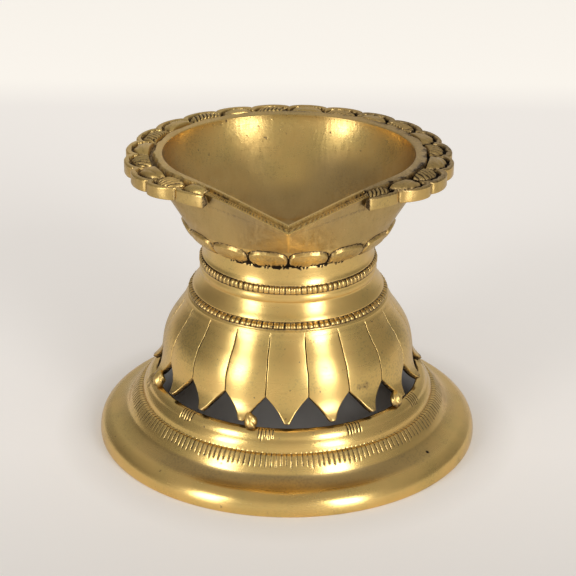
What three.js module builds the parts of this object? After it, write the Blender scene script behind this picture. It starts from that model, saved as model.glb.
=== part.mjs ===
// Brass oil lamp (diya): a spouted bowl with a scalloped rim on a hollow lotus stand and a turned foot ring.
// Millimetres, +Z up, the spout points to -Y. The origin is on the stand's axis, on the surface it rests on.

import * as THREE from 'three';

// Driving dimensions

const seatGap = 0.3;

const baseDiameter = 120;
const ringWidth = 18.9;
const ringHeight = 20.3;
const ringWall = 2.2;
const ringFootWidth = 2.6;

// The petals stand on the ring: their tips lie outside its hole, and the heights go up from the tips.
const petalCount = 19;
const petalTipInset = 2.3;
const petalTipWidth = 2.3;
const petalTipThickness = 1.9;
const petalCutHeight = 7.2;
const domeHeight = 24.9;
const domeWall = 2;

const neckHeight = 19.5;
const neckTopRadius = 26.3;
const shoulderWidth = 5.3;
const neckWebThickness = 4;
const neckBossRadius = 9;
const neckBossHeight = 9;

// The bowl stands on the neck: its petal foot, then the body that opens to the rim.
const bowlSeatInset = 0.3;
const bowlFootHeight = 6.8;
const bowlPetalCount = 16;
const bowlPetalDrop = 0.4;
const bowlPetalArchHeight = 2.4;
const bowlPetalRise = 0.8;
const bowlPetalLedge = 0.15;
const bowlPetalGapDepth = 0.5;
const bowlFootRadius = 32.8;
const bowlBodyHeight = 17.5;
const bowlRadius = 45.5;
const bowlBackReach = 46.8;
const bowlSetback = 4.8;
const spoutOverhang = 13.3;
const spoutSag = 2.6;
const lipRise = 0.5;
const rimWidth = 6.5;
const backRimWidth = 8;
const spoutRimWidth = 4;
const lipSpoutSag = 0.5;
const floorOverStud = 1.4;

const scallopCount = 20;
const scallopStep = 2;
const scallopReach = 5.6;
const scallopDepth = 2.2;
const flangeThickness = 4.5;

const studRadius = 4;
const studLength = 13;
const studSocketDepth = 2.6;
const studChamfer = 0.8;
const studClearance = 0.3;

const tackRadius = 1.1;
const tackHeight = 2.6;
const tackSpacing = 4;

// Heights and radii that follow from them

const baseRadius = baseDiameter / 2;
const ringHoleRadius = baseRadius - ringWidth;
const petalTipRadius = ringHoleRadius + petalTipInset;
const petalTipHeight = ringHeight + seatGap + petalTipThickness;
const petalNotchHeight = petalTipHeight + petalCutHeight;
const domeTopHeight = petalTipHeight + domeHeight;
const domeTopRadius = neckTopRadius + shoulderWidth;
const neckTopHeight = domeTopHeight + neckHeight;
const bowlSeatHeight = neckTopHeight + seatGap;
const bowlSeatRadius = neckTopRadius - bowlSeatInset;
const bowlBodyBottom = bowlSeatHeight + bowlFootHeight;
const bowlRimHeight = bowlBodyBottom + bowlBodyHeight;
const bowlLipHeight = bowlRimHeight + lipRise;
const bowlFloorHeight = bowlSeatHeight + studSocketDepth + floorOverStud;
const spoutReach = bowlRadius + spoutOverhang;
const lipRadius = bowlRadius - rimWidth;
const lipBackReach = bowlBackReach - backRimWidth;
const lipSpoutReach = spoutReach - spoutRimWidth;
const boreRadius = studRadius + studClearance;

// Helpers: profiles, angles and the polar loft that makes every shaped casting

const fullTurn = 2 * Math.PI;
const degree = Math.PI / 180;

function mix(from, to, share) {
  return from + (to - from) * share;
}

function ease(share) {
  const bounded = Math.min(1, Math.max(0, share));
  return bounded * bounded * (3 - 2 * bounded);
}

// A height on a smooth curve through [radius, height] points that climb, given as a radius.
function radiusAtHeight(points, height) {
  const last = points.length - 1;
  let index = 0;
  while (index < last - 1 && height > points[index + 1][1]) index += 1;
  const before = points[Math.max(0, index - 1)];
  const start = points[index];
  const end = points[index + 1];
  const after = points[Math.min(last, index + 2)];
  const span = end[1] - start[1];
  const share = (height - start[1]) / span;
  const startSlope = (end[0] - before[0]) / (end[1] - before[1]) * span;
  const endSlope = (after[0] - start[0]) / (after[1] - start[1]) * span;
  const squared = share * share;
  const cubed = squared * share;
  return start[0] * (2 * cubed - 3 * squared + 1) + startSlope * (cubed - 2 * squared + share)
    + end[0] * (3 * squared - 2 * cubed) + endSlope * (cubed - squared);
}

// Rings are functions from an angle to [radius, height]; the angle is 0 at the spout and grows towards +X.
// With poles, the first and last rings close on the axis at the poles' heights, and otherwise they join up.
function polarLoft(rings, angles, poles) {
  const positions = [];
  const triangles = [];
  const columns = angles.length;
  for (const ring of rings) {
    for (const angle of angles) {
      const [radius, height] = ring(angle);
      positions.push(radius * Math.sin(angle), -radius * Math.cos(angle), height);
    }
  }
  const joined = poles ? rings.length - 1 : rings.length;
  for (let row = 0; row < joined; row += 1) {
    const lower = row * columns;
    const upper = ((row + 1) % rings.length) * columns;
    for (let column = 0; column < columns; column += 1) {
      const next = (column + 1) % columns;
      triangles.push(lower + column, lower + next, upper + next);
      triangles.push(lower + column, upper + next, upper + column);
    }
  }
  if (poles) {
    const bottom = positions.length / 3;
    positions.push(0, 0, poles.start, 0, 0, poles.end);
    const lastRow = (rings.length - 1) * columns;
    for (let column = 0; column < columns; column += 1) {
      const next = (column + 1) % columns;
      triangles.push(bottom, next, column);
      triangles.push(bottom + 1, lastRow + column, lastRow + next);
    }
  }
  const geometry = new THREE.BufferGeometry();
  geometry.setAttribute('position', new THREE.Float32BufferAttribute(positions, 3));
  geometry.setIndex(triangles);
  geometry.computeVertexNormals();
  return geometry;
}

function lathe(points, segments) {
  const outline = points.map(([radius, height]) => new THREE.Vector2(radius, height));
  const geometry = new THREE.LatheGeometry(outline, segments);
  geometry.rotateX(Math.PI / 2);
  return geometry;
}

// Foot ring

// Shares of the ring's width, from its hole to its outer edge, and of its height.
const ringMouldingShares = [
  [1, 0.03], [1, 0.079], [0.989, 0.148], [0.963, 0.212], [0.921, 0.261], [0.868, 0.3],
  [0.82, 0.325], [0.757, 0.34], [0.57, 0.42], [0.515, 0.47], [0.475, 0.56], [0.33, 0.71],
  [0.275, 0.69], [0.255, 0.77], [0.2, 0.88], [0.12, 0.97], [0.055, 1], [0.015, 0.99],
];
// The same shares along the plain line under the mouldings, which the inside follows one wall further in.
const ringCoreShares = [[0.93, 0.17], [0.76, 0.325], [0.52, 0.44], [0.32, 0.66], [0.2, 0.84], [0.12, 0.94]];
const ringSegments = 64;

function ringPoint([widthShare, heightShare]) {
  return [mix(ringHoleRadius, baseRadius, widthShare), ringHeight * heightShare];
}

function offsetInside(points, distance) {
  return points.map(([radius, height], index) => {
    const before = points[Math.max(0, index - 1)];
    const after = points[Math.min(points.length - 1, index + 1)];
    const run = after[0] - before[0];
    const rise = after[1] - before[1];
    const length = Math.hypot(run, rise);
    return [radius - distance * rise / length, height + distance * run / length];
  });
}

function makeBaseRing() {
  const outside = ringMouldingShares.map(ringPoint);
  const inside = offsetInside(ringCoreShares.map(ringPoint), ringWall).reverse();
  const footInner = baseRadius - ringFootWidth;
  const footTop = inside[inside.length - 1][1] / 2;
  const footRound = outside[0][1];
  const outline = [
    [baseRadius - footRound, 0],
    ...outside,
    [ringHoleRadius, outside[outside.length - 1][1] - footRound],
    [ringHoleRadius, inside[0][1]],
    ...inside,
    [footInner, footTop],
    [footInner, 0],
  ];
  outline.push(outline[0]);
  return lathe(outline, ringSegments);
}

// Lotus dome and neck, one casting

const petalPitch = fullTurn / petalCount;
const petalTipShare = petalTipWidth / (petalTipRadius * petalPitch);

// The outside from the petal tips to the shoulder, in shares of the way between their radii and heights.
const domeFlankShares = [[0, 0], [0.23, 0.1], [0.3, 0.2], [0.315, 0.31], [0.345, 0.43], [0.43, 0.55],
  [0.565, 0.67], [0.755, 0.79], [0.9, 0.9], [1, 1]];
const domeFlank = domeFlankShares.map(([inShare, upShare]) => [
  mix(petalTipRadius, domeTopRadius, inShare),
  mix(petalTipHeight, domeTopHeight, upShare),
]);

// The turned neck, in shares of the way in from the shoulder to the neck and up to the neck's top.
const neckShares = [
  [0.1, 0.03], [0.16, 0.09], [0.33, 0.125], [0.38, 0.19], [0.62, 0.3], [0.77, 0.4], [0.76, 0.49],
  [0.73, 0.55], [0.72, 0.61], [0.88, 0.66], [1, 0.76], [1, 0.97],
];
const neckProfile = neckShares.map(([inShare, upShare]) => [
  mix(domeTopRadius, neckTopRadius, inShare),
  mix(domeTopHeight, neckTopHeight, upShare),
]);

const flankShares = [0.12, 0.35, 0.6, 0.82];
const petalSeamDepth = 0.45;
const petalSeamShare = 0.9;
const petalCrown = 0.25;
const petalEdgePower = 0.85;
const petalFadeShare = 0.25;
const tipBendShare = 0.4;
const tipWallShare = 0.7;
const neckEdgeRound = 0.5;
const neckInnerShare = 0.42;

function petalShare(angle) {
  const turns = angle / petalPitch;
  return 2 * Math.abs(turns - Math.round(turns));
}

function petalEdgeHeight(angle) {
  const beyondTip = Math.max(0, petalShare(angle) - petalTipShare) / (1 - petalTipShare);
  return mix(petalTipHeight, petalNotchHeight, beyondTip ** petalEdgePower);
}

function petalRadius(angle, height) {
  const share = petalShare(angle);
  const seam = petalSeamDepth * Math.max(0, share - petalSeamShare) / (1 - petalSeamShare);
  const fade = ease((domeTopHeight - height) / (domeTopHeight - petalNotchHeight) / petalFadeShare);
  return radiusAtHeight(domeFlank, height) - (seam + petalCrown * share * share) * fade;
}

function makeLotusDome() {
  const flankRing = (upShare) => (angle) => {
    const height = mix(petalNotchHeight, domeTopHeight, upShare);
    return [petalRadius(angle, height), height];
  };
  const firstFlankHeight = mix(petalNotchHeight, domeTopHeight, flankShares[0]);
  const tipRing = (upShare) => (angle) => {
    const height = mix(petalEdgeHeight(angle), firstFlankHeight, upShare);
    return [petalRadius(angle, height), height];
  };
  const circle = ([radius, height]) => () => [radius, height];
  const innerRing = (upShare) => () => {
    const height = mix(petalNotchHeight, domeTopHeight, upShare);
    return [radiusAtHeight(domeFlank, height) - domeWall, height - domeWall * upShare / 2];
  };
  const tipUnderside = (angle) => {
    const edge = petalEdgeHeight(angle);
    return [radiusAtHeight(domeFlank, edge) - domeWall * tipWallShare, edge - petalTipThickness];
  };
  const webUnderside = neckTopHeight - neckWebThickness;
  const bossUnderside = neckTopHeight - neckBossHeight;
  const neckInner = neckTopRadius - domeWall;
  const rings = [
    tipRing(0),
    tipRing(tipBendShare),
    ...flankShares.map(flankRing),
    circle([domeTopRadius, domeTopHeight]),
    ...neckProfile.map(circle),
    circle([neckTopRadius - neckEdgeRound, neckTopHeight]),
    circle([boreRadius, neckTopHeight]),
    circle([boreRadius, bossUnderside]),
    circle([neckBossRadius, bossUnderside]),
    circle([neckBossRadius, webUnderside]),
    circle([neckInner, webUnderside]),
    circle([neckInner, mix(domeTopHeight, neckTopHeight, neckInnerShare)]),
    ...[...flankShares].reverse().map(innerRing),
    tipUnderside,
  ];
  const stepShares = [-1, -petalSeamShare, -petalTipShare, petalTipShare, petalSeamShare];
  const angles = [];
  for (let petal = 0; petal < petalCount; petal += 1) {
    for (const share of stepShares) angles.push((petal + share / 2) * petalPitch);
  }
  return polarLoft(rings, angles, null);
}

// Brazing tacks between petal tips and foot ring

const tackOutlineShares = [[0, 0], [0.7, 0], [1, 0.3], [0.9, 0.7], [0.5, 1], [0, 1]];
const tackSegments = 8;
const tackPlaceShare = 0.6;
const tackSideGap = 0.95;
const firstTackPetal = -1;

function makeTack() {
  const outline = tackOutlineShares.map(([outShare, upShare]) => [
    tackRadius * outShare,
    tackHeight * upShare,
  ]);
  return lathe(outline, tackSegments);
}

// A tack stands on the ring beside its petal's tip, on the side that faces the spout.
function placeTack(mesh, tack) {
  const petalAngle = (firstTackPetal + tack * tackSpacing) * petalPitch;
  const towardsSpout = -Math.sign(Math.sin(petalAngle));
  const radius = mix(ringHoleRadius, petalTipRadius, tackPlaceShare);
  const offset = petalTipWidth / 2 + tackRadius + tackSideGap;
  const angle = petalAngle + towardsSpout * offset / radius;
  mesh.position.set(radius * Math.sin(angle), -radius * Math.cos(angle), ringHeight + seatGap);
}

// Bowl

const spoutEndAngle = 38 * degree;
const spoutJoinAngle = 65 * degree;
const scallopPitch = (fullTurn - 2 * spoutEndAngle) / scallopCount;
const endScallopShare = 0.6;
const crestRiseAngle = 30 * degree;

// The distance from the axis to an oval that is set back from it, at an angle from the spout.
function ovalRadius(angle, halfWidth, backReach) {
  const halfLength = backReach - bowlSetback;
  const shift = bowlSetback / halfLength;
  const across = Math.sin(angle) / halfWidth;
  const along = Math.cos(angle) / halfLength;
  const spread = across * across + along * along;
  const root = Math.sqrt((along * shift) ** 2 + spread * (1 - shift * shift));
  return (root - along * shift) / spread;
}

// The radius of a teardrop: an oval whose spout sides run from the tip to the join and bow in by the sag.
function teardrop(angle, reach, halfWidth, backReach, sag) {
  const turned = Math.abs(Math.atan2(Math.sin(angle), Math.cos(angle)));
  if (turned >= spoutJoinAngle) return ovalRadius(turned, halfWidth, backReach);
  const joinRadius = ovalRadius(spoutJoinAngle, halfWidth, backReach);
  const spread = reach * Math.sin(turned) + joinRadius * Math.sin(spoutJoinAngle - turned);
  const straight = reach * joinRadius * Math.sin(spoutJoinAngle) / spread;
  const sideShare = turned / spoutJoinAngle;
  return straight - sag * 4 * sideShare * (1 - sideShare);
}

function onSpout(angle) {
  return angle < spoutEndAngle || angle > fullTurn - spoutEndAngle;
}

function bodyOutline(angle) {
  return teardrop(angle, spoutReach, bowlRadius, bowlBackReach, spoutSag);
}

function lipOutline(angle) {
  return teardrop(angle, lipSpoutReach, lipRadius, lipBackReach, lipSpoutSag);
}

// How far across its scallop an angle lies, from -1 to 1. The two scallops at the spout are cut short.
function scallopAcross(angle) {
  const turns = (angle - spoutEndAngle) / scallopPitch;
  const number = Math.min(scallopCount - 1, Math.max(0, Math.floor(turns)));
  const start = number === 0 ? -endScallopShare : -1;
  const end = number === scallopCount - 1 ? endScallopShare : 1;
  return mix(start, end, turns - number);
}

function rimRadius(angle) {
  if (onSpout(angle)) return bodyOutline(angle);
  const turned = Math.min(angle, fullTurn - angle);
  const riseShare = ease((turned - spoutEndAngle) / crestRiseAngle);
  const crestOval = ovalRadius(angle, bowlRadius + scallopReach, bowlBackReach + scallopReach);
  const crest = mix(bodyOutline(spoutEndAngle) + scallopStep, crestOval, riseShare);
  const across = scallopAcross(angle);
  return crest - scallopDepth * (1 - Math.sqrt(Math.max(0, 1 - across * across)));
}

function bodyRadius(angle, height) {
  const share = (height - bowlBodyBottom) / bowlBodyHeight;
  return mix(bowlFootRadius, bodyOutline(angle), share);
}

// The foot under the body, which carries a row of petals, in shares of the way out from the seat and up.
const bowlFootShares = [[0, 0], [0.22, 0.07], [0.5, 0.24], [0.75, 0.47], [0.92, 0.78], [1, 1]];
const bowlFoot = bowlFootShares.map(([outShare, upShare]) => [
  mix(bowlSeatRadius, bowlFootRadius, outShare),
  mix(bowlSeatHeight, bowlBodyBottom, upShare),
]);
const bowlPetalRowShares = [0.1, 0.35, 0.65, 0.97];
const bowlPetalRootShare = 0.3;
const bowlPetalGapShare = 0.85;
const bowlPetalTop = bowlBodyBottom - bowlPetalDrop;
const bowlPetalPitch = fullTurn / bowlPetalCount;

// 0 on a petal's middle line and 1 in the gap between two petals.
function bowlPetalShare(angle) {
  const turns = angle / bowlPetalPitch;
  return 2 * Math.abs(turns - Math.floor(turns) - 0.5);
}

function bowlPetalArch(angle) {
  return Math.sqrt(Math.max(0, 1 - bowlPetalShare(angle) ** 2));
}

function bowlPetalRow(rowShare) {
  return (angle) => {
    const top = bowlPetalTop - bowlPetalArchHeight * (1 - bowlPetalArch(angle));
    const height = mix(bowlSeatHeight, top, rowShare);
    const gap = Math.max(0, bowlPetalShare(angle) - bowlPetalGapShare) / (1 - bowlPetalGapShare);
    const push = bowlPetalRise * bowlPetalArch(angle) - bowlPetalGapDepth * gap;
    return [radiusAtHeight(bowlFoot, height) + push * ease(rowShare / bowlPetalRootShare), height];
  };
}

function bowlPetalLedgeRow(angle) {
  const height = bowlPetalTop - bowlPetalArchHeight * (1 - bowlPetalArch(angle)) + bowlPetalLedge;
  return [radiusAtHeight(bowlFoot, height), height];
}

// Where the bands on top of the rim end, in shares of the way from the lip's inner edge to the outside.
const rimTopShares = {
  lipOuter: 0.29,
  bossInnerFoot: 0.335,
  bossInner: 0.42,
  bossOuter: 0.7,
  bossOuterFoot: 0.8,
  border: 0.86,
};
const spoutWallStep = 0.3;
const borderDrop = 0.5;
const grooveDepth = 1.1;
const bossRise = 1.5;
const bossInnerSlopeShare = 0.2;
const bossOuterSlopeShare = 0.36;
const interiorPower = 1.7;
const channelPower = 1.2;
const interiorShares = [0, 0.25, 0.5, 0.72, 0.88, 0.97];
const spoutStepShares = [0.08, 0.22, 0.42, 0.62, 0.82, 0.99];
const scallopStepShares = [0, 0.09, 0.33, 0.67, 0.91];
const leastAngleStep = 0.3 * degree;

function bossShape(angle, slopeShare) {
  const fromEnd = (1 - Math.abs(scallopAcross(angle))) / 2;
  return ease(fromEnd / slopeShare);
}

function rimTopRing(share, scallopHeight) {
  return (angle) => {
    const radius = mix(lipOutline(angle), rimRadius(angle), share);
    const spoutHeight = mix(bowlLipHeight, bowlRimHeight, share);
    return [radius, onSpout(angle) ? spoutHeight : scallopHeight(angle)];
  };
}

function interiorRing(depthShare) {
  return (angle) => {
    const lipOval = ovalRadius(angle, lipRadius, lipBackReach);
    const round = lipOval * Math.sqrt(1 - depthShare ** interiorPower);
    const radius = round + (lipOutline(angle) - lipOval) * (1 - depthShare) ** channelPower;
    return [radius, mix(bowlLipHeight, bowlFloorHeight, depthShare)];
  };
}

function bowlAngles() {
  const spoutAngles = spoutStepShares.map((share) => share * spoutEndAngle);
  const angles = [0, ...spoutAngles];
  for (let scallop = 0; scallop < scallopCount; scallop += 1) {
    for (const share of scallopStepShares) angles.push(spoutEndAngle + (scallop + share) * scallopPitch);
  }
  angles.push(fullTurn - spoutEndAngle);
  for (const angle of spoutAngles) angles.push(fullTurn - angle);
  for (let petal = 1; petal < bowlPetalCount; petal += 1) {
    const gapAngle = petal * bowlPetalPitch;
    const isFree = angles.every((angle) => Math.abs(angle - gapAngle) > leastAngleStep);
    if (isFree) angles.push(gapAngle);
  }
  return angles.sort((first, second) => first - second);
}

function makeBowl() {
  const circle = (radius, height) => () => [radius, height];
  const flangeBottom = bowlRimHeight - flangeThickness;
  const bodyRing = (upShare) => (angle) => {
    const height = mix(bowlBodyBottom, flangeBottom, upShare);
    return [bodyRadius(angle, height), height];
  };
  const borderHeight = bowlRimHeight - borderDrop;
  const grooveHeight = borderHeight - grooveDepth;
  const level = (height) => () => height;
  const boss = (slopeShare) => (angle) => (
    grooveHeight + (bossRise + grooveDepth) * bossShape(angle, slopeShare)
  );
  const wallBottom = (angle) => {
    if (!onSpout(angle)) return [rimRadius(angle), flangeBottom];
    const height = flangeBottom + spoutWallStep;
    return [bodyRadius(angle, height), height];
  };
  const rings = [
    circle(boreRadius, bowlSeatHeight + studSocketDepth),
    circle(boreRadius, bowlSeatHeight),
    circle(bowlSeatRadius, bowlSeatHeight),
    ...bowlPetalRowShares.map(bowlPetalRow),
    bowlPetalLedgeRow,
    bodyRing(0),
    bodyRing(0.5),
    bodyRing(1),
    wallBottom,
    rimTopRing(1, level(borderHeight)),
    rimTopRing(rimTopShares.border, level(borderHeight)),
    rimTopRing(rimTopShares.bossOuterFoot, level(grooveHeight)),
    rimTopRing(rimTopShares.bossOuter, boss(bossOuterSlopeShare)),
    rimTopRing(rimTopShares.bossInner, boss(bossInnerSlopeShare)),
    rimTopRing(rimTopShares.bossInnerFoot, level(grooveHeight)),
    rimTopRing(rimTopShares.lipOuter, level(bowlLipHeight)),
    ...interiorShares.map(interiorRing),
  ];
  const poles = { start: bowlSeatHeight + studSocketDepth, end: bowlFloorHeight };
  return polarLoft(rings, bowlAngles(), poles);
}

// Stud that holds the bowl in the neck

const studSegments = 24;

function makeStud() {
  const top = bowlSeatHeight + studSocketDepth - seatGap;
  const bottom = top - studLength;
  const outline = [
    [0, bottom], [studRadius - studChamfer, bottom], [studRadius, bottom + studChamfer],
    [studRadius, top - studChamfer], [studRadius - studChamfer, top], [0, top],
  ];
  return lathe(outline, studSegments);
}

// Assembly

function brass(colour, roughness) {
  return new THREE.MeshStandardMaterial({ color: colour, roughness, metalness: 1 });
}

function piece(name, geometry, material) {
  const mesh = new THREE.Mesh(geometry, material);
  mesh.name = name;
  return mesh;
}

const diya = new THREE.Group();
diya.add(piece('base_ring', makeBaseRing(), brass(0xc9a85e, 0.32)));
diya.add(piece('lotus_dome', makeLotusDome(), brass(0xcbaa60, 0.3)));
diya.add(piece('bowl', makeBowl(), brass(0xb8965a, 0.34)));
diya.add(piece('bowl_stud', makeStud(), brass(0xb08d4c, 0.45)));

for (let tack = 0; tack * tackSpacing < petalCount; tack += 1) {
  const mesh = piece(`braze_tack_${tack + 1}`, makeTack(), brass(0xd2a445, 0.5));
  placeTack(mesh, tack);
  diya.add(mesh);
}

export default diya;
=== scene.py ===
# Looks of the brass oil lamp: detailed castings, patinated brass with painted shade and a painted highlight,
# a pale floor with a painted shadow round the foot, studio light and a camera.
# Metres, +Z up. The spout points to -Y, and angles grow from the spout towards +X.

import math

import bpy
import numpy as np
from mathutils import Matrix, Vector


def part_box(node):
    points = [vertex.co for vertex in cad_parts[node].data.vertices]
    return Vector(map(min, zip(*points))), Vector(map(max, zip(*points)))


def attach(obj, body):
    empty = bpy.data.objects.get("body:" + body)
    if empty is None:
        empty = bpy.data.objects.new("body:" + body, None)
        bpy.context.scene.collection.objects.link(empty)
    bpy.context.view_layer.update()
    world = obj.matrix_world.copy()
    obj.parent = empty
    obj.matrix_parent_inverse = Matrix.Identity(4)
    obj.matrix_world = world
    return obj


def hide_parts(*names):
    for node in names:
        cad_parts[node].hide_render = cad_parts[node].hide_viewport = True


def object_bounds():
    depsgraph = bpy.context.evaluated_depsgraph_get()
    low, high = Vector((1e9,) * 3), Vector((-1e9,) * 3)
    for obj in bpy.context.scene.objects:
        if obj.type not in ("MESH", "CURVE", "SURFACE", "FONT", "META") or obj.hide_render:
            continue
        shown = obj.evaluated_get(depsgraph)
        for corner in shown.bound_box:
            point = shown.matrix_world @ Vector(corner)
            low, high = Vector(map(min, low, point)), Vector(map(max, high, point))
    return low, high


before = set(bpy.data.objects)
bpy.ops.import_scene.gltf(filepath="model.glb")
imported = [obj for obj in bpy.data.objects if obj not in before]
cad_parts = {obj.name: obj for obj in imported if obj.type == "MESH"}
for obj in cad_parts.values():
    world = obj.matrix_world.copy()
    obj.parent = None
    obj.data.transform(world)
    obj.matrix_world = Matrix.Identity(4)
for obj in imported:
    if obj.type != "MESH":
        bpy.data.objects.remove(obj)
cad_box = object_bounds()

FULL_TURN = 2 * math.pi
HALF_TURN = math.pi
rng = np.random.default_rng(7)


# Sizes taken from the frame


def reach(node):
    """Least and greatest radius and height of a CAD node."""
    points = np.array([v.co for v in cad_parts[node].data.vertices])
    radii = np.hypot(points[:, 0], points[:, 1])
    return radii.min(), radii.max(), points[:, 2].min(), points[:, 2].max()


RING_HOLE, RING_EDGE, _, RING_TOP = reach("base_ring")
BORE_RADIUS, TIP_RADIUS, _, NECK_TOP = reach("lotus_dome")
_, SPOUT_REACH, BOWL_SEAT, RIM_TOP = reach("bowl")
_, STUD_RADIUS, STUD_BOTTOM, STUD_TOP = reach("bowl_stud")
SCALLOP_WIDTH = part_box("bowl")[1].x


# Helpers


def mix(start, end, share):
    return start + (end - start) * share


def ease(share):
    bounded = np.clip(share, 0, 1)
    return bounded * bounded * (3 - 2 * bounded)


def groove(distance, half_width):
    """1 at distance 0, falling smoothly to 0 at the half width."""
    return ease(1 - np.abs(distance) / half_width)


def between(value, low, high, soft):
    """1 between low and high, with soft ends outside them."""
    return ease((value - low) / soft + 1) * ease((high - value) / soft + 1)


def turned(angle):
    """The angle brought into the half turn on either side of the spout."""
    return np.arctan2(np.sin(angle), np.cos(angle))


def in_front(angles, end, soft):
    """1 at the front, falling to 0 over the soft angle before the end angle at either side."""
    return ease((end - np.abs(turned(angles))) / soft)


def at_sides(angles, start):
    """0 at the front and the back, rising to 1 at the two sides."""
    return ease((np.abs(np.sin(angles)) - start) / 0.5)


def waver(angles, count, bend, slow, phase=0.0):
    """A wave between 0 and 1, so many to the turn, which a slower one makes uneven."""
    return 0.5 + 0.5 * np.sin(angles * count + bend * np.sin(angles * slow + phase))


def dome(across, power):
    """1 in the middle and 0 at -1 and 1, flatter for a greater power."""
    return np.sqrt(np.maximum(0, 1 - np.abs(across) ** power))


def nearest_mark(angles, count, shifts):
    """Number of the nearest of evenly spaced marks, and how far off it is, in shares of their pitch."""
    phase = angles / FULL_TURN * count
    index = np.round(phase).astype(int) % count
    return index, phase - np.round(phase) + shifts[index]


def even_angles(count):
    return np.arange(count) * FULL_TURN / count


def trace(points, step):
    """Rows along a smooth curve through (radius, height) points, about a step apart."""
    points = np.array(points, float)
    padded = np.vstack([2 * points[0] - points[1], points, 2 * points[-1] - points[-2]])
    rows = [points[:1]]
    for before, start, end, after in zip(padded, padded[1:], padded[2:], padded[3:]):
        length = np.linalg.norm(end - start)
        lead = (end - before) * length / (length + np.linalg.norm(start - before))
        tail = (after - start) * length / (length + np.linalg.norm(after - end))
        count = max(1, round(length / step))
        s = (np.arange(1, count + 1) / count)[:, None]
        rows.append(
            start * (2 * s**3 - 3 * s**2 + 1)
            + lead * (s**3 - 2 * s**2 + s)
            + end * (3 * s**2 - 2 * s**3)
            + tail * (s**3 - s**2)
        )
    return np.vstack(rows)


def stretched(shares, start, end):
    """Points at (outward, upward) shares of the way from one (radius, height) to another."""
    return [(mix(start[0], end[0], out), mix(start[1], end[1], up)) for out, up in shares]


def outward(rows):
    """Unit normals of a row list, to the right of its direction."""
    along = np.gradient(rows, axis=0)
    along /= np.maximum(np.linalg.norm(along, axis=1), 1e-9)[:, None]
    return np.stack([along[:, 1], -along[:, 0]], 1)


def add_object(name, data):
    thing = bpy.data.objects.new(name, data)
    bpy.context.scene.collection.objects.link(thing)
    return thing


class Loft:
    """A surface of rings round the axis. Each ring has its own angles, so fine bands meet plain ones."""

    def __init__(self):
        self.points, self.patina, self.dullness_and_shade = [], [], []
        self.faces, self.rings = [], []
        self.count = 0

    # Each ring carries a darkness, which is real patina and painted shade, and a dulling, which is a dull
    # finish and painted shade.
    def ring(self, angles, radius, height, patina=0.0, dullness_and_shade=0.0, shift=0.0):
        level = np.zeros(len(angles))
        radius = radius + level
        turn = angles + shift
        self.points.append(np.stack([radius * np.sin(turn), -radius * np.cos(turn), height + level], 1))
        self.patina.append(patina + level)
        self.dullness_and_shade.append(dullness_and_shade + level)
        self.rings.append((self.count, angles))
        self.count += len(angles)
        if len(self.rings) > 1:
            self.join(self.rings[-2], self.rings[-1])

    def join(self, lower, upper):
        (low, low_angles), (high, high_angles) = lower, upper
        n, m = len(low_angles), len(high_angles)
        if n == m and np.allclose(low_angles, high_angles):
            here = np.arange(n)
            there = (here + 1) % n
            quads = np.stack([low + here, low + there, high + there, high + here], 1)
            self.faces.extend(quads.tolist())
            return
        next_low = np.append(low_angles[1:], low_angles[0] + FULL_TURN)
        next_high = np.append(high_angles[1:], high_angles[0] + FULL_TURN)
        i = j = 0
        while i < n or j < m:
            if j == m or (i < n and next_low[i] <= next_high[j]):
                self.faces.append([low + i, low + (i + 1) % n, high + j % m])
                i += 1
            else:
                self.faces.append([low + i % n, high + (j + 1) % m, high + j])
                j += 1

    def pole(self, height, at_start=False):
        end = 0 if at_start else -1
        start, angles = self.rings[end]
        self.points.append(np.array([[0, 0, height]]))
        self.patina.append(self.patina[end][:1])
        self.dullness_and_shade.append(self.dullness_and_shade[end][:1])
        for i in range(len(angles)):
            here, there = start + i, start + (i + 1) % len(angles)
            self.faces.append([self.count, there, here] if at_start else [self.count, here, there])
        self.count += 1

    def close(self):
        self.join(self.rings[-1], self.rings[0])

    def piece(self, name, material):
        mesh = bpy.data.meshes.new(name)
        mesh.from_pydata(np.vstack(self.points).tolist(), [], self.faces)
        mesh.shade_smooth()
        for kind, values in (("patina", self.patina), ("dullness_and_shade", self.dullness_and_shade)):
            attribute = mesh.attributes.new(kind, "FLOAT", "POINT")
            attribute.data.foreach_set("value", np.clip(np.concatenate(values), 0, 1))
        mesh.materials.append(material)
        return add_object(name, mesh)


def place(piece, body, slot, *nodes):
    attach(piece, body)
    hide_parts(*nodes)


# Materials


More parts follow.
